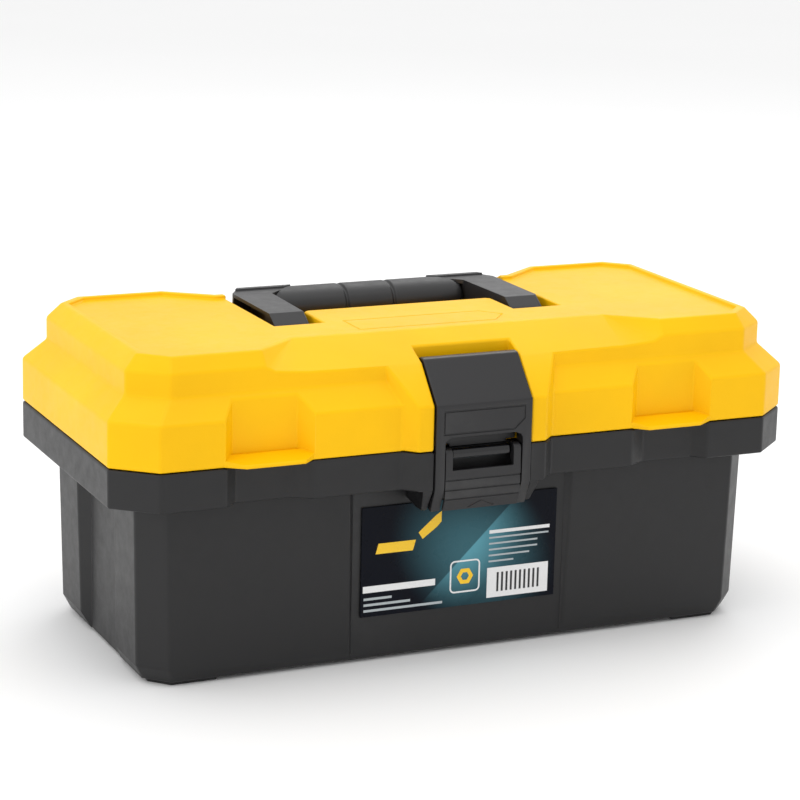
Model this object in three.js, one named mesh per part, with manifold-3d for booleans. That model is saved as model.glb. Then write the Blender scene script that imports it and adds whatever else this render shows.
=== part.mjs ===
// Hand-carried plastic toolbox with a lift-out tray.
// Millimetres, +X along the length, +Y to the hinged back, +Z up.
// The origin is on the ground under the middle of the box, hinge and latch included.

import * as THREE from 'three';
import { ConvexGeometry } from 'three/addons/geometries/ConvexGeometry.js';
import { mergeVertices } from 'three/addons/utils/BufferGeometryUtils.js';
import Module from 'manifold-3d';

const wasm = await Module();
wasm.setup();

// ---- driving dimensions ----
const WALL = 2.2;
const GAP = 0.3;

// Rim and lid share one outline, an oblong with cut corners.
const RIM = { x: 145, y: 69, legX: 15.8, legY: 13.8 };
const CROWN = { x: 136.5, y: 61.4, legX: 13.9, legY: 11.7 };
const TOP = { x: 130.9, y: 56.8, legX: 10, legY: 9.6 };
const TUB_HIGH = { x: 132.4, y: 57.8, legX: 10, legY: 10 };
const TUB_LOW = { x: 131.4, y: 56.8, legX: 10, legY: 10 };
const TUB_BASE = { x: 128.4, y: 54.4, legX: 9, legY: 9 };

// Levels above the ground.
const FOOT_HEIGHT = 1.5;
const TUB_CHAMFER_TOP = 7.5;
const TUB_FLOOR = 3.9;
const RIM_BOTTOM = 73.4;
const PARTING = 88.6;
const LID_BOTTOM = PARTING + GAP;
const LID_WALL_TOP = 106.7;
const CROWN_BOTTOM = 115.1;
const CROWN_TOP = 124.1;
const LID_TOP = 130;
const PANEL_DROP = 1.5;
const LIP_WIDTH = 2.8;

// Narrow waist of the lid top, where the slopes reach further in.
const WAIST_X = 67;
const WAIST_END_X = 85;
const WAIST_Y = 42.5;
const WAIST_FOOT_Z = 121;

// Block that carries the latch at the middle of the front, and its channel.
const BLOCK = { baseX: 32.3, frontX: 27.3, topX: 36, y: 74 };
const CHANNEL_X = 20.8;
const CHANNEL_Y = 67;

// Finger recesses beside the latch.
const RECESS = { inner: 67, outer: 104.5, floorInner: 73, floorOuter: 99, y: 63, bottom: 91.5 };
const LIP = { inner: 68.5, outer: 104, frontInner: 73.5, frontOuter: 97, y: 73.8 };
const RIM_POCKET = { floorInner: 76, floorOuter: 98, y: 64.6 };

// Rear hinge.
const HINGE = { y: 75.9, z: 88.75, radius: 4.1, pin: 1.5, bore: 1.8, x: 85 };
const KNUCKLE = { half: 5.6, start: 6, end: 16, tubRoot: [77, 86.5], lidRoot: [91, 99] };

// Handle pocket in the lid and the handle in it.
const POCKET = { x: 63, front: -14, back: 57, floor: 111, tongueX: 42, tongueEndX: 40, tongueY: 8.8 };
const HANDLE = { outer: 59.6, inner: 44.8, innerBack: 43.7, innerY: 37.5, noseY: 0.4 };
const ARM = { top: 130.2, bottom: 117.5 };
const CORNER = { sideY: 41.5, back: 48.5, cut: 4.5 };
const RIDGE = { top: 130.9, front: 45.8 };
const WEB = { endX: 31, bottom: 128.6, clearance: 0.4 };
const PIVOT = { y: -1.5, z: 119.6, nose: 8, stub: 3.2, hole: 3.5, end: 64.8 };
const GRIP = { y: 44.4, z: 122.9, radius: 7.9, stretch: 1.28, core: 4.2, bore: 4.5, half: 43.1 };
const SLEEVE = { endRadius: 7.2, taper: 4, groove: 10.7, grooveDepth: 0.7 };

// Latch plate, its pivot and the lever in its window.
const LATCH = { x: 20.4, front: 75, bend: 106.7, tail: 74, tailY: 71, tailZ: 63.9, thick: 3, depth: 69 };
const LATCH_PIN = { y: -58.6, z: 118.9, barrel: 3.6, radius: 1.5, bore: 1.8, half: 24.6 };
const WINDOW = { x: 16.6, top: 93.8, corner: 3 };
const LEVER = { x: 16.1, arm: 13, front: 74.8, back: 73.4, top: 80.8, kink: 69.3, bottom: 64.4 };
const TRUNNION = { y: -72.2, z: 86.9, radius: 1.3, bore: 1.6, eye: 2.6, end: 19.2 };
const BAR = { x: 12.3, y: 73, bottom: 84.4, top: 88.9 };
const CATCH_LIP = { x: 16.2, front: 69.2, back: 67.7, wideFrom: 90, top: 93.4 };
const GUARD = { width: 2.6, flare: 0.18, top: 74, bottom: 64.2 };

// Lift-out tray on the shelf inside the rim.
const TRAY = { x: 124, y: 52, bottom: 44, wall: 1.8, top: 86, flangeX: 141, flangeY: 61, spineY: 8 };
const GRAB = { half: 55, top: 98, slotHalf: 42, slotBottom: 85, slotTop: 93 };
const DIVIDER = { thick: 1.6, top: 82, xs: [-62, 0, 62], slot: 2.4, rib: 1.4, reach: 2.2, near: 10.5 };

const LABEL = { half: 42.5, bottom: 19, top: 63.6, thick: 0.5 };
const PANEL = { half: 46, edge: 49.5, y: 55.4 };
const BAY = { depth: 4.4, half: 18, flare: 7, floorTop: 60, faceTop: 68 };
const FOOT = { inX: 28, inY: 14, cornerX: 9, cornerY: 9, edgeX: 2, edgeY: 1.5 };

// ---- helpers ----
const v = (x, y, z) => new THREE.Vector3(x, y, z);

function solid(geometry) {
  geometry.deleteAttribute('normal');
  geometry.deleteAttribute('uv');
  const merged = mergeVertices(geometry, 1e-4);
  return new wasm.Manifold(new wasm.Mesh({
    numProp: 3,
    vertProperties: Float32Array.from(merged.attributes.position.array),
    triVerts: Uint32Array.from(merged.index.array),
  }));
}

function hull(points) {
  return solid(new ConvexGeometry(points));
}

function box(x0, x1, y0, y1, z0, z1) {
  const geometry = new THREE.BoxGeometry(x1 - x0, y1 - y0, z1 - z0);
  geometry.translate((x0 + x1) / 2, (y0 + y1) / 2, (z0 + z1) / 2);
  return solid(geometry);
}

// Upright prism over an outline of [x, y] points.
function prismZ(outline, z0, z1) {
  const shape = new THREE.Shape(outline.map(([x, y]) => new THREE.Vector2(x, y)));
  const geometry = new THREE.ExtrudeGeometry(shape, { depth: z1 - z0, bevelEnabled: false });
  geometry.translate(0, 0, z0);
  return solid(geometry);
}

// Prism along X over an outline of [y, z] points.
function prismX(outline, x0, x1) {
  const shape = new THREE.Shape(outline.map(([y, z]) => new THREE.Vector2(y, z)));
  const geometry = new THREE.ExtrudeGeometry(shape, { depth: x1 - x0, bevelEnabled: false });
  geometry.applyMatrix4(new THREE.Matrix4().makeBasis(v(0, 1, 0), v(0, 0, 1), v(1, 0, 0)));
  geometry.translate(x0, 0, 0);
  return solid(geometry);
}

function rodX(x0, x1, y, z, radius, sides = 16) {
  const geometry = new THREE.CylinderGeometry(radius, radius, x1 - x0, sides);
  geometry.rotateZ(-Math.PI / 2);
  geometry.translate((x0 + x1) / 2, y, z);
  return solid(geometry);
}

// [y, z] points on a circle, for outlines.
function circle(y, z, radius, sides = 16) {
  const points = [];
  for (let i = 0; i < sides; i += 1) {
    const angle = (2 * Math.PI * (i + 0.5)) / sides;
    points.push([y + radius * Math.cos(angle), z + radius * Math.sin(angle)]);
  }
  return points;
}

function extrudedHull(outline, x0, x1) {
  return hull(outline.flatMap(([y, z]) => [v(x0, y, z), v(x1, y, z)]));
}

// Oblong with cut corners at height z, drawn in by inset.
function ring(form, z, inset = 0) {
  const x = form.x - inset;
  const y = form.y - inset;
  const legX = form.legX - inset * 0.4;
  const legY = form.legY - inset * 0.4;
  const points = [];
  for (const sx of [-1, 1]) {
    for (const sy of [-1, 1]) {
      points.push(v(sx * x, sy * (y - legY), z), v(sx * (x - legX), sy * y, z));
    }
  }
  return points;
}

function addBoth(body, make) {
  return body.add(make(-1)).add(make(1));
}

function cutBoth(body, make) {
  return body.subtract(make(-1)).subtract(make(1));
}

// Span from a to b on the side given by sign, in rising order.
function span(sign, a, b) {
  return sign > 0 ? [a, b] : [-b, -a];
}

function mesh(name, body, look) {
  const data = body.getMesh();
  const positions = Float32Array.from(data.vertProperties);
  const triangles = Uint32Array.from(data.triVerts);
  const geometry = new THREE.BufferGeometry();
  geometry.setAttribute('position', new THREE.BufferAttribute(positions, 3));
  geometry.setIndex(new THREE.BufferAttribute(triangles, 1));
  geometry.computeVertexNormals();
  const part = new THREE.Mesh(geometry, new THREE.MeshStandardMaterial(look));
  part.name = name;
  return part;
}

const YELLOW = { color: 0xf9c806, roughness: 0.42, metalness: 0 };
const CHARCOAL = { color: 0x3a3a3c, roughness: 0.5, metalness: 0 };
const BLACK = { color: 0x2f2f31, roughness: 0.45, metalness: 0 };
const GRIP_RUBBER = { color: 0x343436, roughness: 0.65, metalness: 0 };
const TRAY_GREY = { color: 0x38383a, roughness: 0.52, metalness: 0 };
const STEEL = { color: 0xb8babd, roughness: 0.3, metalness: 1 };
const LABEL_NAVY = { color: 0x0c1420, roughness: 0.3, metalness: 0 };

// ---- shared front features ----

// Tapered space behind a finger recess; grow widens it for the wall behind.
function recessSpace(sign, floorInner, floorOuter, floorY, z0, z1, grow) {
  const inner = RECESS.inner - grow;
  const outer = RECESS.outer + grow;
  const face = RIM.y + 1;
  const points = [];
  for (const z of [z0, z1]) {
    points.push(v(sign * inner, -face, z), v(sign * outer, -face, z));
    points.push(v(sign * (floorInner - grow), grow - floorY, z));
    points.push(v(sign * (floorOuter + grow), grow - floorY, z));
  }
  return hull(points);
}

// Front block below the bend, with slanted flanks.
function blockColumn(z0, z1) {
  const points = [];
  for (const z of [z0, z1]) {
    for (const sign of [-1, 1]) {
      points.push(v(sign * BLOCK.baseX, -RIM.y, z), v(sign * BLOCK.frontX, -BLOCK.y, z));
      points.push(v(sign * BLOCK.baseX, -CHANNEL_Y + 1, z));
    }
  }
  return hull(points);
}

// Hinge barrel with its root on the rear wall between two heights.
function knuckle(x0, x1, [low, high]) {
  const outline = [...circle(HINGE.y, HINGE.z, HINGE.radius), [RIM.y - 1, low], [RIM.y - 1, high]];
  return extrudedHull(outline, x0, x1);
}

// ---- tub ----

function tubShell() {
  const low = ring(TUB_BASE, FOOT_HEIGHT).concat(ring(TUB_LOW, TUB_CHAMFER_TOP));
  const body = hull(low.concat(ring(TUB_HIGH, RIM_BOTTOM + 1)));
  const band = hull(ring(RIM, RIM_BOTTOM).concat(ring(RIM, PARTING)));
  return body.add(band).add(blockColumn(RIM_BOTTOM, PARTING));
}

// Sunk panel in the long walls; y is the sunk face and half its half-width.
function panelSpace(sign, y, half, edge) {
  const points = [];
  for (const z of [-1, RIM_BOTTOM - 1.5]) {
    for (const x of [-1, 1]) {
      points.push(v(x * half, sign * y, z), v(x * edge, sign * (TUB_HIGH.y + 1), z));
    }
  }
  return hull(points);
}

// Sunk bay in the end walls with a sloping head, widened by grow for the wall behind.
function baySpace(sign, grow) {
  const floor = TUB_HIGH.x - BAY.depth - grow;
  const face = TUB_HIGH.x + 1;
  const half = BAY.half + grow;
  const points = [];
  for (const y of [-half, half]) {
    points.push(v(sign * floor, y, -1), v(sign * floor, y, BAY.floorTop));
  }
  for (const y of [-half - BAY.flare, half + BAY.flare]) {
    points.push(v(sign * face, y, -1), v(sign * face, y, BAY.faceTop));
  }
  return hull(points);
}

function tubHollow() {
  const low = ring(TUB_LOW, TUB_FLOOR, WALL + 2).concat(ring(TUB_LOW, TUB_CHAMFER_TOP + 2, WALL));
  let hollow = hull(low.concat(ring(TUB_HIGH, PARTING - 5, WALL)));
  hollow = cutBoth(hollow, (s) => panelSpace(s, PANEL.y - WALL, PANEL.half + 2, PANEL.edge + 3));
  hollow = cutBoth(hollow, (s) => baySpace(s, WALL));
  let band = hull(ring(RIM, RIM_BOTTOM + WALL, WALL).concat(ring(RIM, PARTING + 5, WALL)));
  const { floorInner, floorOuter, y } = RIM_POCKET;
  band = cutBoth(band, (s) => recessSpace(s, floorInner, floorOuter, y, 60, 99, WALL));
  const channelBack = box(-CHANNEL_X - WALL, CHANNEL_X + WALL, -RIM.y, WALL - CHANNEL_Y, 60, 99);
  return hollow.add(band.subtract(channelBack));
}

// Bar that the latch closes over, with an upright lip behind it.
function catchBar() {
  const root = 1 - CHANNEL_Y;
  const { y, bottom, top } = BAR;
  const outline = [
    [root, bottom], [-y + 1.4, bottom], [-y + 0.4, bottom + 0.5], [-y, bottom + 1.4],
    [-y, top - 1.9], [-y + 0.5, top - 0.7], [-y + 1.6, top], [-y + 4, top],
    [-y + 5.2, PARTING - 0.6], [root, PARTING - 0.6],
  ];
  const { x, front, back, wideFrom } = CATCH_LIP;
  const stem = box(-BAR.x, BAR.x, -front, -back, bottom + 1, CATCH_LIP.top);
  const lip = box(-x, x, -front, -back, wideFrom, CATCH_LIP.top);
  return prismX(outline, -BAR.x, BAR.x).add(stem).add(lip);
}

// Fin beside the latch tail, from the rim block down to the wall, thicker at its root.
function latchGuard(sign) {
  const { width, flare, top, bottom } = GUARD;
  const outline = [
    [-54.5, bottom + 2.3], [-54.5, top], [-73.5, top], [-73.5, top - 1.8], [-69, bottom], [-64, bottom],
  ];
  return hull(outline.flatMap(([y, z]) => {
    const outer = CHANNEL_X + width + flare * (z - bottom);
    return [v(sign * CHANNEL_X, y, z), v(sign * outer, y, z)];
  }));
}

function foot(signX, signY) {
  const x = [TUB_BASE.x - FOOT.inX, TUB_BASE.x - FOOT.cornerX, TUB_BASE.x - FOOT.edgeX];
  const y = [TUB_BASE.y - FOOT.inY, TUB_BASE.y - FOOT.cornerY, TUB_BASE.y - FOOT.edgeY];
  const outline = [[x[0], y[0]], [x[2], y[0]], [x[2], y[1]], [x[1], y[2]], [x[0], y[2]]];
  const points = [];
  for (const z of [0, FOOT_HEIGHT + 0.5]) {
    outline.forEach(([px, py]) => points.push(v(signX * px, signY * py, z)));
  }
  return hull(points);
}

function makeTub() {
  let body = tubShell();
  body = cutBoth(body, (s) => panelSpace(s, PANEL.y, PANEL.half, PANEL.edge));
  body = cutBoth(body, (s) => baySpace(s, 0));
  const { floorInner, floorOuter, y } = RIM_POCKET;
  body = cutBoth(body, (s) => recessSpace(s, floorInner, floorOuter, y, 60, 99, 0));
  body = body.subtract(tubHollow());
  body = body.subtract(box(-CHANNEL_X, CHANNEL_X, -99, -CHANNEL_Y, 60, 99));
  body = addBoth(body.add(catchBar()), latchGuard);
  for (const sx of [-1, 1]) {
    body = addBoth(body, (sy) => foot(sx, sy));
    for (const side of [-1, 1]) {
      const [x0, x1] = span(side, KNUCKLE.start, KNUCKLE.end);
      body = body.add(knuckle(sx * HINGE.x + x0, sx * HINGE.x + x1, KNUCKLE.tubRoot));
    }
    body = body.subtract(rodX(sx * HINGE.x - 20, sx * HINGE.x + 20, HINGE.y, HINGE.z, HINGE.bore));
  }
  return mesh('tub', body, CHARCOAL);
}

function makeHingePin(name, sign) {
  const half = KNUCKLE.end - 0.2;
  const x = sign * HINGE.x;
  return mesh(name, rodX(x - half, x + half, HINGE.y, HINGE.z, HINGE.pin), STEEL);
}

// ---- lid ----

function lidBody(inset) {
  const drop = inset * 0.41;
  const bottom = inset > 0 ? LID_BOTTOM - 5 : LID_BOTTOM;
  const lower = ring(RIM, bottom, inset).concat(ring(RIM, LID_WALL_TOP - drop, inset));
  const skirt = hull(lower.concat(ring(CROWN, CROWN_BOTTOM - drop, inset)));
  const ceiling = inset > 0 ? LID_TOP - PANEL_DROP - inset : LID_TOP;
  const upper = ring(CROWN, CROWN_BOTTOM - 3, inset).concat(ring(CROWN, CROWN_TOP - drop, inset));
  return skirt.add(hull(upper.concat(ring(TOP, ceiling, inset * 0.4))));
}

// Wedge above the waist slope on one long side, lowered for the inner face.
function waistSpace(sign, drop) {
  const slope = (LID_TOP - WAIST_FOOT_Z) / (CROWN.y - WAIST_Y);
  const farY = CROWN.y + 5;
  const farZ = WAIST_FOOT_Z - 5 * slope;
  const high = LID_TOP + 8;
  const points = [];
  for (const x of [-1, 1]) {
    points.push(v(x * WAIST_X, WAIST_Y, LID_TOP), v(x * WAIST_X, farY, farZ));
    points.push(v(x * WAIST_END_X, TOP.y, LID_TOP), v(x * WAIST_END_X, CROWN.y, CROWN_TOP));
    points.push(v(x * WAIST_END_X, farY, CROWN_TOP - 4), v(x * WAIST_END_X, farY, high));
    points.push(v(x * WAIST_X, WAIST_Y, high), v(x * WAIST_END_X, TOP.y, high));
  }
  return hull(points.map((p) => v(p.x, sign * (p.y - drop * 0.42), p.z - drop)));
}

// Outline of the top, following the waist, drawn in by inset.
function topOutline(inset) {
  const x = TOP.x - inset;
  const y = TOP.y - inset;
  const waist = WAIST_Y - inset;
  const quarter = [
    [WAIST_X + inset * 0.3, waist], [WAIST_END_X + inset * 0.3, y],
    [x - TOP.legX + inset * 0.4, y], [x, y - TOP.legY + inset * 0.4],
  ];
  const half = quarter.concat(quarter.map(([px, py]) => [px, -py]).reverse());
  return half.concat(half.map(([px, py]) => [-px, py]).reverse());
}

// Handle pocket seen from above, around the tongue of the lid, widened by grow.
function pocketOutline(grow) {
  const front = POCKET.front - grow;
  const x = POCKET.x + grow;
  const back = POCKET.back + grow;
  const tongue = POCKET.tongueX - grow;
  const tongueEnd = POCKET.tongueEndX - grow;
  const tongueBack = POCKET.tongueY - grow;
  const shoulder = tongueBack - (POCKET.tongueX - POCKET.tongueEndX) * 0.8;
  return [
    [-x, front], [-tongue, front], [-tongue, shoulder], [-tongueEnd, tongueBack],
    [tongueEnd, tongueBack], [tongue, shoulder], [tongue, front], [x, front], [x, back], [-x, back],
  ];
}

// Latch channel through the block, from [y, z] points; grow deepens it.
function channelOutline(grow) {
  const floor = grow - CHANNEL_Y;
  return [
    [-95, 80], [floor, 80], [floor, 107.5 - grow * 0.3], [-54.5 + grow * 0.6, 114 - grow * 0.8],
    [-52 + grow, 118 - grow * 0.3], [-52 + grow, 140], [-95, 140],
  ];
}

function lidBlock() {
  const points = [];
  for (const sign of [-1, 1]) {
    for (const z of [LID_BOTTOM, LID_WALL_TOP]) {
      points.push(v(sign * BLOCK.baseX, -RIM.y, z), v(sign * BLOCK.frontX, -BLOCK.y, z));
      points.push(v(sign * BLOCK.baseX, 2 - CHANNEL_Y, z));
    }
    const x = sign * BLOCK.topX;
    points.push(v(x, -CROWN.y, WAIST_FOOT_Z), v(x, 2 - CROWN.y, WAIST_FOOT_Z));
    points.push(v(x, 2 - CROWN.y, CROWN_BOTTOM));
  }
  return hull(points);
}

// Ledge under a finger recess, sloping down to its front edge.
function recessLedge(sign) {
  const points = [];
  for (const [x, y, z] of [
    [LIP.inner, RIM.y - 5, RECESS.bottom + 1], [LIP.outer, RIM.y - 5, RECESS.bottom + 1],
    [LIP.inner, RIM.y, RECESS.bottom], [LIP.outer, RIM.y, RECESS.bottom],
    [LIP.frontInner, LIP.y, LID_BOTTOM + 1.5], [LIP.frontOuter, LIP.y, LID_BOTTOM + 1.5],
    [LIP.inner, RIM.y - 5, LID_BOTTOM], [LIP.outer, RIM.y - 5, LID_BOTTOM],
    [LIP.inner, RIM.y, LID_BOTTOM], [LIP.outer, RIM.y, LID_BOTTOM],
    [LIP.frontInner, LIP.y, LID_BOTTOM], [LIP.frontOuter, LIP.y, LID_BOTTOM],
  ]) {
    points.push(v(sign * x, -y, z));
  }
  return hull(points);
}

function lidHollow() {
  let hollow = lidBody(WALL);
  hollow = cutBoth(hollow, (s) => waistSpace(s, WALL));
  hollow = hollow.subtract(prismZ(pocketOutline(WALL), POCKET.floor - WALL, 140));
  hollow = hollow.subtract(prismX(channelOutline(WALL), -CHANNEL_X - WALL, CHANNEL_X + WALL));
  const { floorInner, floorOuter, y, bottom } = RECESS;
  return cutBoth(hollow, (s) => recessSpace(s, floorInner, floorOuter, y, bottom - 9, 125, WALL));
}

function makeLid() {
  let body = cutBoth(lidBody(0), (s) => waistSpace(s, 0));
  body = body.add(lidBlock());
  const { floorInner, floorOuter, y, bottom } = RECESS;
  body = cutBoth(body, (s) => recessSpace(s, floorInner, floorOuter, y, bottom, 125, 0));
  body = addBoth(body, recessLedge);
  body = body.subtract(prismZ(topOutline(LIP_WIDTH), LID_TOP - PANEL_DROP, LID_TOP + 5));
  body = body.subtract(lidHollow());
  body = body.subtract(prismZ(pocketOutline(0), POCKET.floor, 140));
  body = body.subtract(prismX(channelOutline(0), -CHANNEL_X, CHANNEL_X));
  body = body.subtract(rodX(-25, 25, LATCH_PIN.y, LATCH_PIN.z, LATCH_PIN.bore));
  body = cutBoth(body, (s) => rodX(...span(s, 60, 68), PIVOT.y, PIVOT.z, PIVOT.hole, 20));
  for (const sign of [-1, 1]) {
    const x = sign * HINGE.x;
    body = body.add(knuckle(x - KNUCKLE.half, x + KNUCKLE.half, KNUCKLE.lidRoot));
    body = body.subtract(rodX(x - 20, x + 20, HINGE.y, HINGE.z, HINGE.bore));
  }
  return mesh('lid', body, YELLOW);
}

// ---- handle ----

// One arm: round nose in front, wider towards the back, with a cut rear corner.
function handleArm(sign) {
  const { outer, inner, innerBack, noseY, innerY } = HANDLE;
  const { top, bottom } = ARM;
  const { sideY, back, cut } = CORNER;
  const points = [];
  for (const [y, z] of circle(PIVOT.y, PIVOT.z, PIVOT.nose, 20)) {
    points.push(v(sign * inner, y, z), v(sign * outer, y, z));
  }
  for (const z of [bottom, top]) {
    points.push(v(sign * inner, noseY, z), v(sign * outer, noseY, z));
    points.push(v(sign * innerBack, innerY, z), v(sign * outer, sideY, z));
    points.push(v(sign * innerBack, back, z), v(sign * (outer - cut), back, z));
  }
  return hull(points);
}

// Raised rear edge of the corner.
function handleRidge(sign) {
  const { outer } = HANDLE;
  const { back, cut } = CORNER;
  const points = [];
  for (const z of [ARM.top - 1, RIDGE.top]) {
    points.push(v(sign * WEB.endX, back, z), v(sign * (WEB.endX + 4), RIDGE.front, z));
    points.push(v(sign * (outer - cut + 1.7), RIDGE.front, z), v(sign * (outer - cut), back, z));
  }
  return hull(points);
}

// Three-cornered plate between arm and ridge over the end of the grip, widened by grow.
function cornerWeb(sign, grow, top) {
  const { innerBack, innerY } = HANDLE;
  const points = [];
  for (const z of [WEB.bottom - grow, top]) {
    points.push(v(sign * (innerBack + 1), innerY - 0.87 - 1.6 * grow, z));
    points.push(v(sign * (WEB.endX - 1.6 * grow), CORNER.back, z));
    points.push(v(sign * (WEB.endX - 1.6 * grow), CORNER.back + 8 * grow, z));
    points.push(v(sign * (innerBack + 1), CORNER.back + 8 * grow, z));
  }
  return hull(points);
}

// Turns a round solid standing on Y into an oval one lying along the cross bar.
function ovalAcross(geometry) {
  geometry.rotateZ(-Math.PI / 2);
  geometry.scale(1, GRIP.stretch, 1);
  geometry.translate(0, GRIP.y, GRIP.z);
  return geometry;
}

function makeHandleBow() {
  const reach = HANDLE.innerBack + 2;
  let body = solid(ovalAcross(new THREE.CylinderGeometry(GRIP.core, GRIP.core, 2 * reach, 20)));
  for (const sign of [-1, 1]) {
    const stub = rodX(...span(sign, HANDLE.outer - 1, PIVOT.end), PIVOT.y, PIVOT.z, PIVOT.stub, 20);
    body = body.add(handleArm(sign)).add(cornerWeb(sign, 0, ARM.top)).add(handleRidge(sign)).add(stub);
  }
  return mesh('handle_bow', body, BLACK);
}

function makeHandleGrip() {
  const { radius, bore, half } = GRIP;
  const { endRadius, taper, groove, grooveDepth } = SLEEVE;
  const profile = [[bore, -half], [endRadius - 1, -half], [endRadius, 1 - half], [radius, taper - half]];
  for (const x of [-groove, groove]) {
    const floor = radius - grooveDepth;
    profile.push([radius, x - 1], [floor, x - 0.4], [floor, x + 0.4], [radius, x + 1]);
  }
  profile.push([radius, half - taper], [endRadius, half - 1], [endRadius - 1, half]);
  profile.push([bore, half], [bore, -half]);
  const points = profile.map(([r, x]) => new THREE.Vector2(r, x));
  let body = solid(ovalAcross(new THREE.LatheGeometry(points, 24)));
  body = cutBoth(body, (s) => cornerWeb(s, WEB.clearance, RIDGE.top + 1));
  return mesh('handle_grip', body, GRIP_RUBBER);
}

// ---- latch ----

function makeLatchPlate() {
  const { x, front, bend, tail, tailY, tailZ, thick, depth } = LATCH;
  const { y, z, barrel } = LATCH_PIN;
  const crown = [y - 2.4, z + barrel - 0.3];
  const barrelSide = circle(y, z, barrel);
  let body = extrudedHull([...barrelSide, crown, [-front, bend], [thick - front, bend - 1.6]], -x, x);
  body = body.add(box(-x, x, -front, thick - front, tail, bend));
  const slope = [
    crown, [y - 4, z - 1], [-front, bend], [-front, bend - 4], [-depth, bend - 2],
  ];
  const tailShape = [[-front, tail], [-depth, tail], [-tailY, tailZ], [-tailY + 2.6, tailZ + 0.6]];
  for (const sign of [-1, 1]) {
    const sides = span(sign, WINDOW.x + 0.01, x);
    body = body.add(extrudedHull(slope, ...sides)).add(extrudedHull(tailShape, ...sides));
    body = body.add(box(...sides, -front, -depth, tail, bend - 3));
  }
  body = body.subtract(latchWindow());
  body = body.subtract(rodX(-30, 30, y, z, LATCH_PIN.bore));
  const { end, bore } = TRUNNION;
  body = cutBoth(body, (s) => rodX(...span(s, 10, end + 0.4), TRUNNION.y, TRUNNION.z, bore));
  return mesh('latch_plate', body, BLACK);
}

// Window for the lever, open below, with cut upper corners.
function latchWindow() {
  const { x, top, corner } = WINDOW;
  const points = [];
  for (const y of [-99, -60]) {
    for (const sign of [-1, 1]) {
      points.push(v(sign * x, y, 50), v(sign * x, y, top - corner));
      points.push(v(sign * (x - 0.9), y, top - 0.9), v(sign * (x - corner), y, top));
    }
  }
  return hull(points);
}

function makeLatchLever() {
  const { x, arm, front, back, top, kink, bottom } = LEVER;
  const plate = [
    [-front, top], [-front, kink], [2.2 - front, bottom],
    [1.9 - back, bottom + 0.5], [-back, kink + 0.3], [-back, top],
  ];
  let body = prismX(plate, -x, x);
  for (const sign of [-1, 1]) {
    const { y, z, radius, eye, end } = TRUNNION;
    const outline = [...circle(y, z, eye), [-front, top - 1], [-back, top - 1]];
    body = body.add(extrudedHull(outline, ...span(sign, arm, x)));
    body = body.add(rodX(...span(sign, arm + 0.5, end), y, z, radius));
  }
  return mesh('latch_lever', body, BLACK);
}

function makeLatchPin() {
  const { half, y, z, radius } = LATCH_PIN;
  return mesh('latch_pin', rodX(-half, half, y, z, radius), STEEL);
}

// ---- tray ----

function trayForm(x, y) {
  return { x, y, legX: 9, legY: 9 };
}

// Handle of the tray: a board on the spine with a finger slot.
function trayGrab() {
  const { half, slotHalf, slotBottom, slotTop } = GRAB;
  const { top, spineY } = TRAY;
  const corner = 3;
  const board = [[-half - 8, top - 4], [half + 8, top - 4], [half, GRAB.top - 4], [half - 5, GRAB.top]];
  board.push([5 - half, GRAB.top], [-half, GRAB.top - 4]);
  const slot = [];
  for (const x of [-slotHalf, slotHalf]) {
    const inner = x - Math.sign(x) * corner;
    slot.push([x, slotBottom + corner], [inner, slotBottom], [inner, slotTop], [x, slotTop - corner]);
  }
  const slab = (outline, y0, y1) => hull(outline.flatMap(([x, z]) => [v(x, y0, z), v(x, y1, z)]));
  return { board: slab(board, spineY - 2, spineY + 2), slot: slab(slot, spineY - 9, spineY + 9) };
}

function makeTray() {
  const { x, y, bottom, wall, top, flangeX, flangeY, spineY } = TRAY;
  const shelf = RIM_BOTTOM + WALL + GAP;
  const base = trayForm(x - 3, y - 2);
  const rim = trayForm(x, y);
  let body = hull(ring(base, bottom).concat(ring(rim, shelf), ring(rim, top)));
  const flange = { x: flangeX, y: flangeY, legX: 15, legY: 13 };
  body = body.add(hull(ring(flange, shelf).concat(ring(flange, shelf + 2.2))));
  const hollow = ring(base, bottom + wall, wall).concat(ring(rim, shelf, wall), ring(rim, top + 1, wall));
  body = body.subtract(hull(hollow));
  body = body.add(box(wall - x - 0.5, x - wall + 0.5, spineY - 1, spineY + 1, bottom + 1, top - 3));
  const { board, slot } = trayGrab();
  body = body.add(board).subtract(slot);
  for (const dx of DIVIDER.xs) {
    for (const side of [-1, 1]) {
      const near = DIVIDER.slot / 2;
      const [x0, x1] = span(side, near, near + DIVIDER.rib).map((value) => dx + value);
      body = body.add(box(x0, x1, spineY, DIVIDER.near + DIVIDER.reach, bottom + 1, DIVIDER.top - 3));
      const rear = rearRib(x0, x1, y - wall, shelf).concat(rearRib(x0, x1, y - wall - 2, bottom + 1));
      body = body.add(hull(rear));
    }
  }
  return mesh('tray', body, TRAY_GREY);
}

// Ends of a divider rib against the rear wall of the tray, at one height.
function rearRib(x0, x1, wallY, z) {
  const nearY = wallY - DIVIDER.reach;
  return [v(x0, nearY, z), v(x1, nearY, z), v(x0, wallY + 0.6, z), v(x1, wallY + 0.6, z)];
}

function makeDivider(name, x) {
  const { wall, bottom, y } = TRAY;
  const { near, top } = DIVIDER;
  const foot = bottom + wall + GAP;
  const back = y - wall - 2 * GAP;
  const half = DIVIDER.thick / 2;
  const outline = [[near, foot], [back - 2, foot], [back, top - 6], [back, top], [near, top]];
  const notch = [[24, top + 8], [36, top + 8], [34, top - 4], [26, top - 4]];
  return mesh(name, prismX(outline, x - half, x + half).subtract(prismX(notch, x - 5, x + 5)), TRAY_GREY);
}

// ---- label ----

function makeLabel() {
  const near = -PANEL.y - GAP;
  const { half, bottom, top, thick } = LABEL;
  return mesh('front_label', box(-half, half, near - thick, near, bottom, top), LABEL_NAVY);
}

// ---- assembly ----

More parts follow.
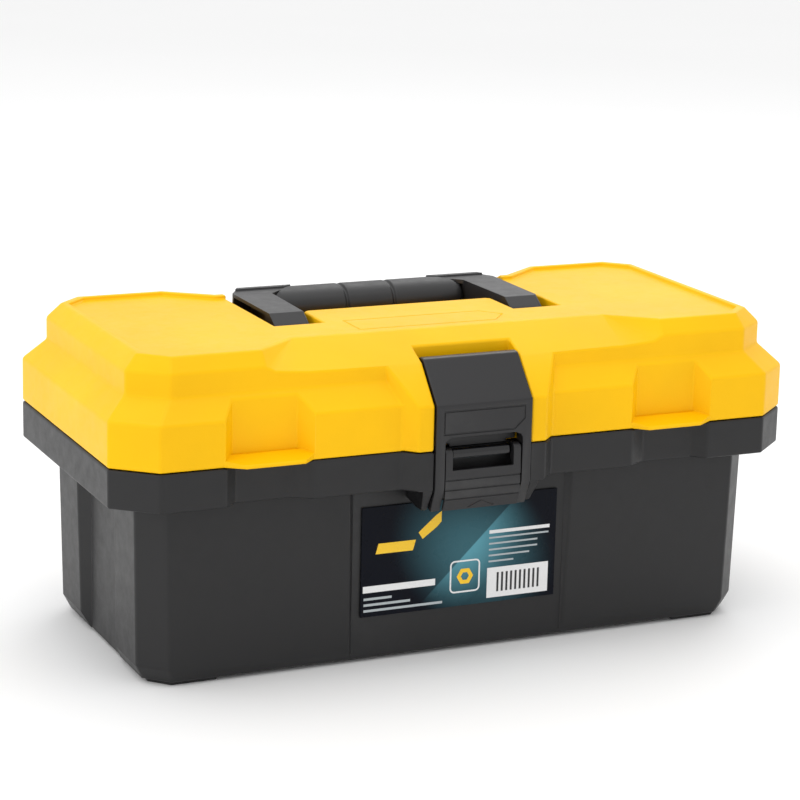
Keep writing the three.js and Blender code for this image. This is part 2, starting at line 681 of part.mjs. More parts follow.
const toolbox = new THREE.Group();
toolbox.name = 'toolbox';

const base = new THREE.Group();
base.add(makeTub(), makeHingePin('hinge_pin_left', -1), makeHingePin('hinge_pin_right', 1), makeLabel());

const cover = new THREE.Group();
cover.add(makeLid(), makeLatchPin());

const handle = new THREE.Group();
handle.add(makeHandleBow(), makeHandleGrip());

const latch = new THREE.Group();
latch.add(makeLatchPlate(), makeLatchLever());

const insert = new THREE.Group();
insert.add(makeTray());
DIVIDER.xs.forEach((x, i) => insert.add(makeDivider(`tray_divider_${i + 1}`, x)));

toolbox.add(base, cover, handle, latch, insert);

// The hinge stands out further than the latch, so the rim's middle lies in front of the origin.
toolbox.position.y = (LATCH.front - HINGE.y - HINGE.radius) / 2;

export default toolbox;
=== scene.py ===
"""Looks for the toolbox with tray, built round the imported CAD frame. Metres, +Z up."""

import math

import bmesh
import bpy
from mathutils import Matrix, Vector, geometry, kdtree


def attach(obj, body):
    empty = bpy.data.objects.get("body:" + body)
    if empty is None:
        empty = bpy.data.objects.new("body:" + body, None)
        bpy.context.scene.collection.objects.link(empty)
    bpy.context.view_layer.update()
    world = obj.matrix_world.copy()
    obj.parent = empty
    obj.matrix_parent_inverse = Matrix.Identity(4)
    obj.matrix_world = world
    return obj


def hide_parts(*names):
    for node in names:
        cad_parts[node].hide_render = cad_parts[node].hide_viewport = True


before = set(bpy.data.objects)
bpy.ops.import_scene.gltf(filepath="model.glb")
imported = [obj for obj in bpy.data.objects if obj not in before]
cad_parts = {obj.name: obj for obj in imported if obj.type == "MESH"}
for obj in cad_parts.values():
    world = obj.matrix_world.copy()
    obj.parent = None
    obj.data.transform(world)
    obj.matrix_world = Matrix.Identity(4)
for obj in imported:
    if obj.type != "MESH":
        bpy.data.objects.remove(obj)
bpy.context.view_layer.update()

MM = 0.001
SCENE = bpy.context.scene

# Places in millimetres. RIM_Y is the middle of the rim in the frame; the other depths are measured from it.
RIM_Y = -2.5
STRIP_Z = 128.5
LATCH_FACE_Y = -75.0
LEVER_FACE_Y = -74.8
LABEL_FACE_Y = -56.2

# Cleaning and rounding: a rounding may take up EDGE_SHARE of the shortest edge at its ends.
WELD = 2e-6
FLAT_ANGLE = math.radians(0.6)
SHARP_ANGLE = math.radians(26)
ROUNDING_STEPS = 3
EDGE_SHARE = 0.42

# Relief of folded faces. In the first CROSSING_ROUNDS rounds a folded face is relieved where its sides cross,
# or all round if none do. In later rounds it is relieved all round. The reach grows with every round.
RELIEF_ROUNDS = 14
CROSSING_ROUNDS = 6
RELIEF_REACH = 0.4
RELIEF_FACTOR = 0.6
FOLD_FACING = 0.5
SMALLEST_FOLD = 0.04 * MM * MM

# Faces with every side longer than BORDERED_SIDE get a border. Cutting shapes start OVERSHOOT outside a face.
# The border keeps the paler edges, part wear and part painted highlight, within this width of each edge.
WEAR_AND_HIGHLIGHT_BORDER = 0.8 * MM
BORDERED_SIDE = 6 * MM
OVERSHOOT = 0.5 * MM


# ---------------------------------------------------------------- camera, light and floor

def make_camera():
    """Camera at the viewing angle of the reference, aimed by yaw, pitch and roll."""
    place = Vector((-0.43344, -0.94530, 0.34991))
    yaw, pitch, roll = 0.42935, -0.24546, 0.0230
    sensor_width, focal_in_widths = 36.0, 3.26425
    forward = Vector((math.sin(yaw) * math.cos(pitch), math.cos(yaw) * math.cos(pitch), math.sin(pitch)))
    right = Vector((math.cos(yaw), -math.sin(yaw), 0.0))
    up = right.cross(forward)
    rolled_right = right * math.cos(roll) + up * math.sin(roll)
    rolled_up = up * math.cos(roll) - right * math.sin(roll)
    data = bpy.data.cameras.new("camera")
    data.sensor_width = sensor_width
    data.lens = sensor_width * focal_in_widths
    camera = bpy.data.objects.new("camera", data)
    turn = Matrix((rolled_right, rolled_up, -forward)).transposed()
    camera.matrix_world = Matrix.Translation(place) @ turn.to_4x4()
    SCENE.collection.objects.link(camera)
    SCENE.camera = camera


def area_light(name, place, target, size, power):
    """Rectangular softbox at a place, turned to a target."""
    data = bpy.data.lights.new(name, "AREA")
    data.shape = "RECTANGLE"
    data.size, data.size_y = size
    data.energy = power
    lamp = bpy.data.objects.new(name, data)
    lamp.location = place
    lamp.rotation_euler = (Vector(target) - Vector(place)).to_track_quat("-Z", "Y").to_euler()
    SCENE.collection.objects.link(lamp)


def make_stage():
    """White studio surround, pale floor and three softboxes."""
    world = bpy.data.worlds.new("studio")
    world.use_nodes = True
    background = world.node_tree.nodes["Background"]
    background.inputs["Color"].default_value = (1, 1, 1, 1)
    background.inputs["Strength"].default_value = 0.98
    SCENE.world = world
    bm = bmesh.new()
    bmesh.ops.create_grid(bm, x_segments=8, y_segments=8, size=6.0)
    floor = link(mesh_object("floor", bm))
    floor.data.materials.append(floor_material())
    area_light("top_softbox", place=(-0.15, -0.1, 1.25), target=(0, 0, 0.05), size=(1.3, 1.0), power=4.5)
    area_light("back_softbox", place=(0.7, 0.8, 1.0), target=(0, 0, 0.05), size=(0.7, 0.7), power=3)
    area_light("left_softbox", place=(-1.2, -0.1, 0.45), target=(0, 0, 0.06), size=(0.6, 0.5), power=2.4)
    SCENE.view_settings.view_transform = "Standard"


# ---------------------------------------------------------------- mesh helpers

def link(obj):
    """Puts an object in the scene and returns it."""
    SCENE.collection.objects.link(obj)
    return obj


def at(x, y, z):
    """A point given in millimetres, with y measured from the middle of the rim."""
    return Vector((x, y + RIM_Y, z)) * MM


def mesh_object(name, bm):
    """Turns a bmesh into an unlinked object and frees it."""
    mesh = bpy.data.meshes.new(name)
    bm.to_mesh(mesh)
    bm.free()
    return bpy.data.objects.new(name, mesh)


def cad_bmesh(node):
    """A clean copy of a CAD node: welded, with flat areas joined."""
    bm = bmesh.new()
    bm.from_mesh(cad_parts[node].data)
    join_flat_areas(bm)
    return bm


def join_flat_areas(bm):
    """Welds points that lie together and joins neighbouring faces in one plane."""
    bmesh.ops.remove_doubles(bm, verts=bm.verts, dist=WELD)
    bmesh.ops.dissolve_limit(bm, angle_limit=FLAT_ANGLE, verts=bm.verts, edges=bm.edges)


def box_bmesh(low, high):
    """Closed box between two corners."""
    bm = bmesh.new()
    bmesh.ops.create_cube(bm, size=1.0)
    size = Vector(high) - Vector(low)
    middle = (Vector(high) + Vector(low)) / 2
    for vert in bm.verts:
        vert.co = Vector((vert.co.x * size.x, vert.co.y * size.y, vert.co.z * size.z)) + middle
    return bm


def bridge(bm, near, far):
    """Four-sided faces between two closed rings of corners."""
    faces = []
    for i in range(len(near)):
        j = (i + 1) % len(near)
        faces.append(bm.faces.new((near[i], near[j], far[j], far[i])))
    return faces


def prism_bmesh(outline, direction):
    """Closed prism over a list of points, swept by a vector."""
    bm = bmesh.new()
    near = [bm.verts.new(p) for p in outline]
    far = [bm.verts.new(Vector(p) + Vector(direction)) for p in outline]
    bm.faces.new(near)
    bm.faces.new(far)
    bridge(bm, near, far)
    bmesh.ops.recalc_face_normals(bm, faces=bm.faces)
    return bm


def combine(obj, bm, operation):
    """Boolean of obj with a closed bmesh, applied at once."""
    tool = link(mesh_object(obj.name + "_tool", bm))
    modifier = obj.modifiers.new("combine", "BOOLEAN")
    modifier.operation = operation
    modifier.solver = "EXACT"
    modifier.object = tool
    apply_modifiers(obj)
    bpy.data.objects.remove(tool)


def apply_modifiers(obj):
    """Keeps the modified shape and drops the modifiers."""
    depsgraph = bpy.context.evaluated_depsgraph_get()
    mesh = bpy.data.meshes.new_from_object(obj.evaluated_get(depsgraph), depsgraph=depsgraph)
    obj.modifiers.clear()
    old = obj.data
    obj.data = mesh
    bpy.data.meshes.remove(old)


def round_edges(obj, width):
    """Rounds every real edge, narrower where short edges or folded faces leave less room.

    Each round of relief narrows the rounding where the last one folded a face over itself.
    """
    bm = bmesh.new()
    bm.from_mesh(obj.data)
    join_flat_areas(bm)
    bm.edges.layers.float.new("bevel_weight_edge")
    sharp = [e for e in bm.edges if len(e.link_faces) == 2 and e.calc_face_angle(0.0) > SHARP_ANGLE]
    room = shortest_edges(sharp)
    corners = corner_tree(bm)
    for attempt in range(RELIEF_ROUNDS):
        weigh_edges(bm, sharp, room, width)
        bm.to_mesh(obj.data)
        bevel_by_weight(obj, width)
        spots = folded_spots(obj.data, whole=attempt >= CROSSING_ROUNDS)
        if not spots:
            break
        crowded = {corners.find(spot)[1] for spot in spots}
        for spot in spots:
            near = corners.find_range(spot, RELIEF_REACH * width * attempt)
            crowded.update(found[1] for found in near)
        for index in crowded:
            room[index] = min(room.get(index, width), width) * RELIEF_FACTOR
    bm.free()
    border_faces(obj)
    obj.data.shade_smooth()
    even = obj.modifiers.new("even", "WEIGHTED_NORMAL")
    even.keep_sharp = False
    even.weight = 100
    apply_modifiers(obj)


def shortest_edges(edges):
    """Length of the shortest of the given edges at each of their corners."""
    room = {}
    for edge in edges:
        for vert in edge.verts:
            room[vert.index] = min(room.get(vert.index, 1.0), edge.calc_length())
    return room


def corner_tree(bm):
    """Search tree of the corners, by index."""
    corners = kdtree.KDTree(len(bm.verts))
    for vert in bm.verts:
        corners.insert(vert.co, vert.index)
    corners.balance()
    return corners


def weigh_edges(bm, sharp, room, width):
    """Sets how much of the full rounding each sharp edge gets."""
    weight = bm.edges.layers.float["bevel_weight_edge"]
    for edge in sharp:
        space = min(room[v.index] for v in edge.verts)
        edge[weight] = min(1.0, EDGE_SHARE * space / width)


def bevel_by_weight(obj, width):
    """Rounds the edges by their weights, with sharp outer mitres."""
    bevel = obj.modifiers.new("round", "BEVEL")
    bevel.limit_method = "WEIGHT"
    bevel.width = width
    bevel.segments = ROUNDING_STEPS
    bevel.use_clamp_overlap = False
    bevel.miter_outer = "MITER_SHARP"
    bevel.harden_normals = False
    apply_modifiers(obj)


def border_faces(obj):
    """Gives big four-sided faces a narrow border, so that the paler edges, part wear and part painted
    highlight, stay close to their edges.
    """
    bm = bmesh.new()
    bm.from_mesh(obj.data)
    for face in list(bm.faces):
        if len(face.verts) == 4 and min(e.calc_length() for e in face.edges) > BORDERED_SIDE:
            bmesh.ops.inset_individual(bm, faces=[face], thickness=WEAR_AND_HIGHLIGHT_BORDER, use_even_offset=True)
    bm.to_mesh(obj.data)
    bm.free()


def folded_spots(mesh, whole):
    """Corners where faces fold over themselves, or all the corners of those faces."""
    mesh.calc_loop_triangles()
    folded = set()
    for triangle in mesh.loop_triangles:
        facing = triangle.normal.dot(mesh.polygons[triangle.polygon_index].normal)
        if facing < FOLD_FACING and triangle.area > SMALLEST_FOLD:
            folded.add(triangle.polygon_index)
    spots = []
    for index in folded:
        polygon = mesh.polygons[index]
        loop = [mesh.vertices[i].co.copy() for i in polygon.vertices]
        crossing = [] if whole else crossing_corners(loop, polygon.normal)
        spots += crossing or loop
    return spots


def crossing_corners(loop, normal):
    """Ends of the shorter side in each pair of sides of a flat loop that cross."""
    turn = normal.rotation_difference(Vector((0, 0, 1)))
    flat = [(turn @ p).to_2d() for p in loop]
    count = len(loop)
    spots = []
    for i in range(count):
        for j in range(i + 2, count):
            first, second = (i, (i + 1) % count), (j, (j + 1) % count)
            if set(first) & set(second):
                continue
            ends = [flat[k] for k in first + second]
            if geometry.intersect_line_line_2d(*ends):
                shorter = min((first, second), key=lambda side: (flat[side[0]] - flat[side[1]]).length)
                spots += [loop[k] for k in shorter]
    return spots


def place(obj, body, slot, material, *nodes):
    """Gives a finished piece its material and its body, and hides the CAD nodes it stands for; the slot is
    not used.
    """
    obj.data.materials.append(material)
    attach(obj, body)
    if nodes:
        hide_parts(*nodes)


def finished_piece(name, node, body, slot, material, width, details=None):
    """A piece in place of a CAD node: its shape with details cut in and rounded edges."""
    obj = link(mesh_object(name, cad_bmesh(node)))
    if details:
        details(obj)
    round_edges(obj, width)
    place(obj, body, slot, material, node)
    return obj


def outline_cut(obj, points, lift, depth, width):
    """Cuts a groove of the given width along a closed outline of points on a face.

    lift is the outward direction of the face; the groove goes depth into it.
    """
    centre = sum((Vector(p) for p in points), Vector()) / len(points)
    inner = []
    for i, point in enumerate(points):
        before = (Vector(points[i - 1]) - Vector(point)).normalized()
        after = (Vector(points[(i + 1) % len(points)]) - Vector(point)).normalized()
        middle = (before + after).normalized()
        if middle.dot(centre - Vector(point)) < 0:
            middle = -middle
        half_angle = before.angle(after) / 2
        inner.append(Vector(point) + middle * width / math.sin(half_angle))
    up = Vector(lift).normalized()
    bm = bmesh.new()
    rings = []
    for loop, height in ((points, OVERSHOOT), (inner, OVERSHOOT), (inner, -depth), (points, -depth)):
        rings.append([bm.verts.new(Vector(p) + up * height) for p in loop])
    for k, ring in enumerate(rings):
        bridge(bm, ring, rings[(k + 1) % len(rings)])
    bmesh.ops.recalc_face_normals(bm, faces=bm.faces)
    combine(obj, bm, "DIFFERENCE")


# ---------------------------------------------------------------- moulded details

def lid_details(obj):
    """Blank outlined field on the strip in front of the handle."""
    left, right, tip = -34, 26, 33
    front, middle, back = -31, -22.2, -13.5
    field = [(left, front), (right, front), (tip, middle), (right, back), (left, back)]
    outline_cut(obj, [at(x, y, STRIP_Z) for x, y in field], (0, 0, 1), depth=0.35 * MM, width=0.7 * MM)


def tub_details(obj):
    """Sunk field and sprue mark under the floor."""
    half_length, half_depth, field_top = 104, 38, 2.1
    sprue_middle = 1.9
    field = box_bmesh(at(-half_length, -half_depth, 0), at(half_length, half_depth, field_top))
    combine(obj, field, "DIFFERENCE")
    sprue = bmesh.new()
    bmesh.ops.create_cone(
        sprue, cap_ends=True, segments=32, radius1=4 * MM, radius2=3.4 * MM, depth=1.2 * MM
    )
    bmesh.ops.translate(sprue, verts=sprue.verts, vec=at(0, 0, sprue_middle))
    combine(obj, sprue, "UNION")


def handle_details(obj):
    """Hollowed outer flanks of the arms under their top plates."""
    inner, outer = 52, 61
    front, back = 5, 40
    bottom, top = 112, 128.7
    for low, high in ((-outer, -inner), (inner, outer)):
        combine(obj, box_bmesh(at(low, front, bottom), at(high, back, top)), "DIFFERENCE")


def latch_details(obj):
    """Outlined blank field above the window, with one cut corner."""
    side, bottom, top = 17.4, 95.1, 104.6
    field = [(-side, bottom), (12.9, bottom), (side, 99.2), (side, top), (-side, top)]
    points = [at(x, LATCH_FACE_Y, z) for x, z in field]
    outline_cut(obj, points, (0, -1, 0), depth=0.45 * MM, width=0.6 * MM)


def lever_details(obj):
    """Finger grooves across the pull and an arrow cut in its lip."""
    half_width, half_groove, groove_depth = 17, 0.25, 0.45
    groove_heights = (76.9, 73.0, 69.4)
    for z in groove_heights:
        low = at(-half_width, LEVER_FACE_Y - 1.2, z - half_groove)
        high = at(half_width, LEVER_FACE_Y + groove_depth, z + half_groove)
        combine(obj, box_bmesh(low, high), "DIFFERENCE")
    lip_top, lip_slope, arrow_depth = 69.3, 0.45, 0.35
    outward = Vector((0, -0.9, -0.5)) * MM
    arrow = [(0, 68.6), (5.7, 65.7), (5.3, 65.1), (0, 67.8), (-5.3, 65.1), (-5.7, 65.7)]
    points = [at(x, LEVER_FACE_Y + (lip_top - z) * lip_slope + arrow_depth, z) for x, z in arrow]
    combine(obj, prism_bmesh(points, outward), "DIFFERENCE")


def gloss_bar(obj, material):
    """Polished catch bar: the faces of the bar get their own finish."""
    obj.data.materials.append(material)
    low, high = at(-12.6, -73.3, 83.9), at(12.6, -67.2, 89.2)
    for face in obj.data.polygons:
        if all(low[i] <= face.center[i] <= high[i] for i in range(3)):
            face.material_index = 1


def label_shapes():
    """Printed shapes of the label as (ink, outline) pairs, outlines in [x, z] millimetres."""
    slanted_mark = [(-8.4, 59.2), (-8.4, 55.0), (-10.4, 52.9), (-16.4, 48.6), (-18.2, 51.4), (-11.2, 57.4)]
    leaning_bar = [(-36.5, 44.4), (-20.5, 44.4), (-19.3, 48.6), (-35.3, 48.6)]
    shapes = [("yellow", slanted_mark), ("yellow", leaning_bar)]
    shapes.append(("white", bar(-41.6, -10.5, 28.9, 31.6)))
    shapes += rows_of_bars(left=-41.2, bottom=25.8, height=1.0, pitch=2.4, lengths=(12, 20, 34))
    shapes.append(("white", bar(12.8, 39.6, 47.6, 49.0)))
    lengths = (26.4, 21.5, 21.5, 18.0, 11.0)
    shapes += rows_of_bars(left=12.8, bottom=45.5, height=0.7, pitch=2.45, lengths=lengths)
    shapes.append(("white", bar(12.3, 39.5, 20.9, 33.4)))
    for i in range(10):
        left = 16.6 + 2.0 * i
        shapes.append(("ink", bar(left, left + 0.9, 23.2, 31.2)))
    return shapes


def rows_of_bars(left, bottom, height, pitch, lengths):
    """Pale bars under each other, each a line of blank print."""
    rows = []
    for i, length in enumerate(lengths):
        low = bottom - pitch * i
        rows.append(("pale", bar(left, left + length, low, low + height)))
    return rows


def bar(left, right, bottom, top):
    """Outline of an upright rectangle."""
    return [(left, bottom), (right, bottom), (right, top), (left, top)]


def heading(degrees):
    """Unit vector in the plane of the label, turned from +x."""
    angle = math.radians(degrees)
    return Vector((math.cos(angle), math.sin(angle)))


def icon_shapes():
    """Round-cornered outline with a plain hexagon inside, as closed rings."""
    centre = Vector((2.5, 31.2))
    reach_x, reach_z = 4.6, 4.7
    outer_radius, inner_radius = 2.0, 1.35
    hexagon_radius, hole_radius = 3.6, 1.8
    frame_out, frame_in = [], []
    for side_x, side_z, start in ((1, 1, 0), (-1, 1, 90), (-1, -1, 180), (1, -1, 270)):
        corner = centre + Vector((side_x * reach_x, side_z * reach_z))
        for step in range(5):
            outward = heading(start + 22.5 * step)
            frame_out.append(corner + outward * outer_radius)
            frame_in.append(corner + outward * inner_radius)
    hexagon_out = [centre + heading(60 * k) * hexagon_radius for k in range(6)]
    hexagon_in = [centre + heading(60 * k) * hole_radius for k in range(6)]
    return [("white", frame_out, frame_in), ("yellow", hexagon_out, hexagon_in)]


def label_print(inks):
    """The printed layer: thin closed shapes standing on the film."""
    bm = bmesh.new()
    order = list(inks)
    first_layer, second_layer = 0.05, 0.09
    for ink, outline in label_shapes():
        rise = second_layer if ink == "ink" else first_layer
        add_print(bm, [outline], rise, order.index(ink))
    for ink, outer, inner in icon_shapes():
        add_print(bm, [outer, inner], first_layer, order.index(ink))
    bmesh.ops.recalc_face_normals(bm, faces=bm.faces)
    obj = link(mesh_object("label_inks", bm))
    place(obj, "tub", "label_print", inks[order[0]])
    for ink in order[1:]:
        obj.data.materials.append(inks[ink])


def add_print(bm, loops, rise, index):
    """A prism over one outline, or a ring between two, from inside the film to just above it."""
    sunk = 0.1
    rings = []
    for loop in loops:
        near = [bm.verts.new(at(x, LABEL_FACE_Y - rise, z)) for x, z in loop]
        far = [bm.verts.new(at(x, LABEL_FACE_Y + sunk, z)) for x, z in loop]
        rings.append((near, far))
    faces = []
    for near, far in rings:
        faces += bridge(bm, near, far)
    for side in (0, 1):
        if len(rings) == 1:
            faces.append(bm.faces.new(rings[0][side]))
        else:
            faces += bridge(bm, rings[0][side], rings[1][side])
    for face in faces:
        face.material_index = index


# ---------------------------------------------------------------- materials

def new_material(name):
    """A material with its nodes, its links and its shader."""
    material = bpy.data.materials.new(name)
    material.use_nodes = True
    tree = material.node_tree
    return material, tree.nodes, tree.links, tree.nodes["Principled BSDF"]


def noise_node(nodes, links, coordinates, scale, detail=2.0, roughness=0.5):
    """Value of a noise texture; the scale is in waves per metre."""
    node = nodes.new("ShaderNodeTexNoise")
    node.inputs["Scale"].default_value = scale
    node.inputs["Detail"].default_value = detail
    node.inputs["Roughness"].default_value = roughness
    links.new(coordinates, node.inputs["Vector"])
    return node.outputs["Fac"]


def remap(nodes, links, value, from_low, from_high, low, high):
    """The value stretched from one range to another, and held within it."""
    node = nodes.new("ShaderNodeMapRange")
    for name, number in (("From Min", from_low), ("From Max", from_high), ("To Min", low), ("To Max", high)):
        node.inputs[name].default_value = number
    links.new(value, node.inputs["Value"])
    return node.outputs["Result"]


def mix_colour(nodes, links, factor, first, second):
    """Blend of two colours, each a triple or the output of another node."""
    node = nodes.new("ShaderNodeMix")
    node.data_type = "RGBA"
    links.new(factor, node.inputs["Factor"])
    for socket, colour in ((node.inputs[6], first), (node.inputs[7], second)):
        if isinstance(colour, bpy.types.NodeSocket):
            links.new(colour, socket)
        else:
            socket.default_value = (*colour, 1)
    return node.outputs[2]


def plastic(name, colour, worn_and_highlit, roughness, grain=0.25, grain_size=0.45, spread=0.05, gloss=0.5):
    """Moulded plastic: spark-eroded grain, slight flow clouds, and paler edges that are part rubbed wear and
    part painted highlight.
    """
    material, nodes, links, shader = new_material(name)
    spot = nodes.new("ShaderNodeTexCoord").outputs["Object"]
    clouds = noise_node(nodes, links, spot, scale=22.0, detail=3.0)
    fine = noise_node(nodes, links, spot, scale=1000.0 / grain_size, roughness=0.6)
    scuffs = noise_node(nodes, links, spot, scale=160.0, detail=4.0, roughness=0.7)
    darker = tuple(c * 0.93 for c in colour)
    body = mix_colour(nodes, links, remap(nodes, links, clouds, 0.35, 0.65, 0.0, 1.0), darker, colour)
    pointiness = nodes.new("ShaderNodeNewGeometry").outputs["Pointiness"]
    # Convex edges are painted paler by pointiness: partly rubbed wear, partly a painted highlight along the
    # edges.
    wear_and_highlight_starts, wear_and_highlight_full, most_wear_and_highlight = 0.565, 0.66, 0.35
    edge = remap(nodes, links, pointiness, wear_and_highlight_starts, wear_and_highlight_full, 0.0, most_wear_and_highlight)
    rubbed_and_highlit = nodes.new("ShaderNodeMath")
    rubbed_and_highlit.operation = "MULTIPLY"
    links.new(edge, rubbed_and_highlit.inputs[0])
    links.new(remap(nodes, links, scuffs, 0.35, 0.6, 0.3, 1.0), rubbed_and_highlit.inputs[1])
    links.new(mix_colour(nodes, links, rubbed_and_highlit.outputs[0], body, worn_and_highlit), shader.inputs["Base Color"])
    uneven = remap(nodes, links, scuffs, 0.3, 0.7, roughness - spread, roughness + spread)
    links.new(uneven, shader.inputs["Roughness"])
    shader.inputs["Specular IOR Level"].default_value = gloss
    bump = nodes.new("ShaderNodeBump")
    bump.inputs["Strength"].default_value = grain
    bump.inputs["Distance"].default_value = 0.05 * MM
    links.new(fine, bump.inputs["Height"])
    links.new(bump.outputs["Normal"], shader.inputs["Normal"])
    return material


# The second colour of each plastic is its paler edge colour: part wear, part painted highlight.
def yellow_plastic():
    return plastic("yellow_plastic", (0.93, 0.515, 0.0), (0.97, 0.6, 0.08), 0.42, gloss=0.16)


def charcoal_plastic():
    return plastic("charcoal_plastic", (0.0085, 0.0083, 0.009), (0.045, 0.045, 0.047), 0.44, gloss=0.4)


def polished_bar():
    return plastic("bar_gloss", (0.004, 0.004, 0.005), (0.02, 0.02, 0.02), 0.14, grain=0.05, spread=0.03)


def black_plastic():
    return plastic("black_plastic", (0.011, 0.0106, 0.0118), (0.05, 0.05, 0.05), 0.4, gloss=0.46)


def grip_rubber():
    colour, worn_and_highlit = (0.01, 0.01, 0.011), (0.04, 0.04, 0.04)
    return plastic("grip_rubber", colour, worn_and_highlit, 0.45, grain=0.3, grain_size=0.3)


def tray_plastic():
    return plastic("tray_plastic", (0.03, 0.03, 0.032), (0.09, 0.09, 0.09), 0.48)


def pin_steel():
    """Drawn steel wire with fine lines."""
    material, nodes, links, shader = new_material("pin_steel")
    spot = nodes.new("ShaderNodeTexCoord").outputs["Object"]
    lines = nodes.new("ShaderNodeTexWave")
    lines.inputs["Scale"].default_value = 900.0
    lines.inputs["Distortion"].default_value = 3.0
    links.new(spot, lines.inputs["Vector"])
    stain = noise_node(nodes, links, spot, scale=300.0, detail=3.0)
    shader.inputs["Metallic"].default_value = 1.0
    metal = mix_colour(nodes, links, stain, (0.42, 0.43, 0.44), (0.62, 0.62, 0.62))
    links.new(metal, shader.inputs["Base Color"])
    links.new(remap(nodes, links, lines.outputs["Fac"], 0.0, 1.0, 0.24, 0.4), shader.inputs["Roughness"])
    return material


def film_material():
    """Dark printed film with a teal glow and a lighter band above a slanted edge."""
    material, nodes, links, shader = new_material("label_film")
    spot = nodes.new("ShaderNodeTexCoord").outputs["Object"]

    def along(direction, origin):
        """Distance along a direction from a point, in millimetres."""
        shifted = nodes.new("ShaderNodeVectorMath")
        shifted.operation = "SUBTRACT"
        links.new(spot, shifted.inputs[0])
        shifted.inputs[1].default_value = origin
        product = nodes.new("ShaderNodeVectorMath")
        product.operation = "DOT_PRODUCT"
        links.new(shifted.outputs[0], product.inputs[0])
        product.inputs[1].default_value = Vector(direction) * 1000
        return product.outputs["Value"]

    def combine_values(operation, first, second):
        """Result of one operation on two values, each a number or the output of another node."""
        node = nodes.new("ShaderNodeMath")
        node.operation = operation
        for socket, value in ((node.inputs[0], first), (node.inputs[1], second)):
            if isinstance(value, bpy.types.NodeSocket):
                links.new(value, socket)
            else:
                socket.default_value = value
        return node.outputs[0]

    centre = at(6, LABEL_FACE_Y, 42)
    reach_across, reach_upward = 27.0, 24.0
    across = combine_values("DIVIDE", along((1, 0, 0), centre), reach_across)
    upward = combine_values("DIVIDE", along((0.25, 0, 0.97), centre), reach_upward)
    across_squared = combine_values("POWER", across, 2.0)
    upward_squared = combine_values("POWER", upward, 2.0)
    squares = combine_values("ADD", across_squared, upward_squared)
    glow = combine_values("POWER", remap(nodes, links, squares, 0.0, 1.9, 1.0, 0.0), 1.8)
    slant = along((0.70, 0, -0.72), at(22.1, LABEL_FACE_Y, 59.5))
    beyond = remap(nodes, links, slant, -0.2, 0.2, 0.0, 1.0)
    fading = remap(nodes, links, slant, 0.0, 16.0, 1.0, 0.0)
    band = combine_values("MULTIPLY", beyond, fading)
    share = combine_values("ADD", combine_values("MULTIPLY", band, 0.62), 0.38)
    light = combine_values("MULTIPLY", glow, share)
    mottle = noise_node(nodes, links, spot, scale=140.0, detail=3.0)
    navy = mix_colour(nodes, links, mottle, (0.001, 0.0018, 0.005), (0.002, 0.003, 0.008))
    links.new(mix_colour(nodes, links, light, navy, (0.11, 0.33, 0.4)), shader.inputs["Base Color"])
    links.new(remap(nodes, links, mottle, 0.3, 0.7, 0.24, 0.34), shader.inputs["Roughness"])
    shader.inputs["Specular IOR Level"].default_value = 0.1
    return material


def ink_material(name, colour):
    """Printed ink with a faint screen texture."""
    material, nodes, links, shader = new_material(name)
    spot = nodes.new("ShaderNodeTexCoord").outputs["Object"]
    speckle = noise_node(nodes, links, spot, scale=1500.0)
    darker = tuple(c * 0.9 for c in colour)
    links.new(mix_colour(nodes, links, speckle, darker, colour), shader.inputs["Base Color"])
    links.new(remap(nodes, links, speckle, 0.3, 0.7, 0.28, 0.4), shader.inputs["Roughness"])
    return material


def floor_material():
    """Matt white paper with a very faint unevenness."""
    material, nodes, links, shader = new_material("floor_paper")
    spot = nodes.new("ShaderNodeTexCoord").outputs["Object"]
    tone = noise_node(nodes, links, spot, scale=3.0)
    paper = mix_colour(nodes, links, tone, (0.92, 0.92, 0.92), (0.94, 0.94, 0.94))
    links.new(paper, shader.inputs["Base Color"])
    shader.inputs["Roughness"].default_value = 0.8
    return material


# ---------------------------------------------------------------- pieces

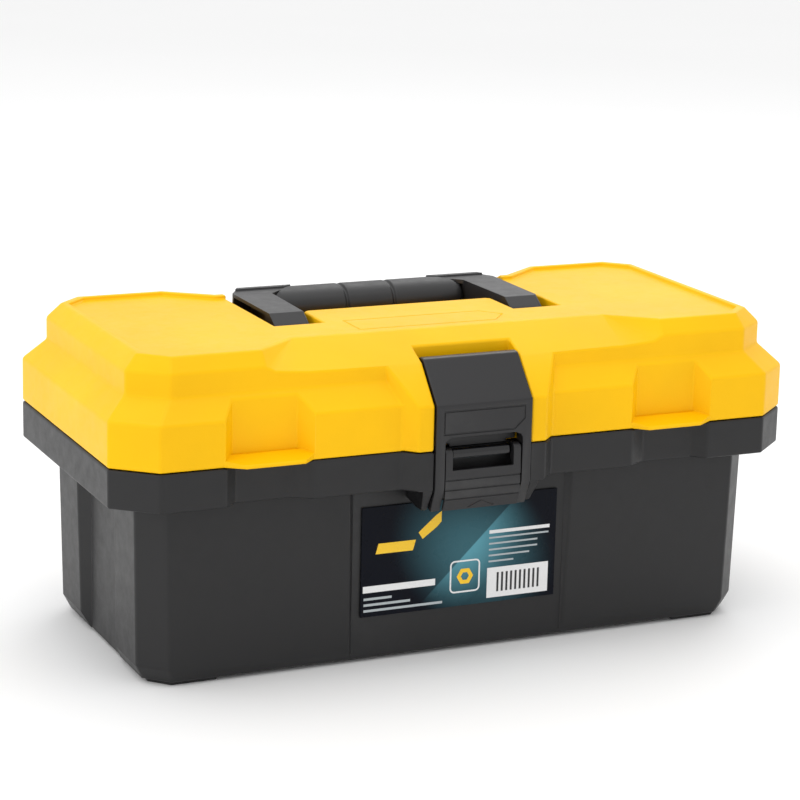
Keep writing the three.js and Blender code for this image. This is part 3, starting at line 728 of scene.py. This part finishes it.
def lid_shell(material):
    finished_piece("lid_shell", "lid", "lid", "lid_plastic", material, 0.9 * MM, lid_details)


def tub_shell(material, bar_material):
    tub = finished_piece("tub_shell", "tub", "tub", "tub_plastic", material, 0.8 * MM, tub_details)
    gloss_bar(tub, bar_material)


def handle_frame(material):
    width = 1.0 * MM
    finished_piece("handle_frame", "handle_bow", "handle", "handle_plastic", material, width, handle_details)


def grip_sleeve(material):
    finished_piece("grip_sleeve", "handle_grip", "handle", "grip_rubber", material, 0.3 * MM)


def latch_cover(material):
    finished_piece("latch_cover", "latch_plate", "latch", "latch_plastic", material, 0.5 * MM, latch_details)


def latch_pull(material):
    finished_piece("latch_pull", "latch_lever", "lever", "latch_plastic", material, 0.3 * MM, lever_details)


def tray_body(material):
    finished_piece("tray_body", "tray", "tray", "tray_plastic", material, 0.5 * MM)


def divider_plates(material):
    for number in (1, 2, 3):
        node, body = f"tray_divider_{number}", f"divider_{number}"
        finished_piece(f"divider_plate_{number}", node, body, "tray_plastic", material, 0.4 * MM)


def pin_wires(material):
    """Both hinge pins and the latch pin."""
    width = 0.3 * MM
    for side in ("left", "right"):
        finished_piece(f"hinge_wire_{side}", f"hinge_pin_{side}", "tub", "pin_steel", material, width)
    finished_piece("latch_wire", "latch_pin", "lid", "pin_steel", material, width)


def label_film(material):
    finished_piece("label_film", "front_label", "tub", "label_print", material, 0.1 * MM)


def label_inks():
    label_print({
        "white": ink_material("print_white", (0.8, 0.8, 0.8)),
        "pale": ink_material("print_pale", (0.42, 0.46, 0.48)),
        "yellow": ink_material("print_yellow", (0.95, 0.58, 0.01)),
        "ink": ink_material("print_black", (0.01, 0.01, 0.012)),
    })


make_camera()
make_stage()

black = black_plastic()
tray_grey = tray_plastic()

lid_shell(yellow_plastic())
tub_shell(charcoal_plastic(), polished_bar())
handle_frame(black)
grip_sleeve(grip_rubber())
latch_cover(black)
latch_pull(black)
tray_body(tray_grey)
divider_plates(tray_grey)
pin_wires(pin_steel())
label_film(film_material())
label_inks()
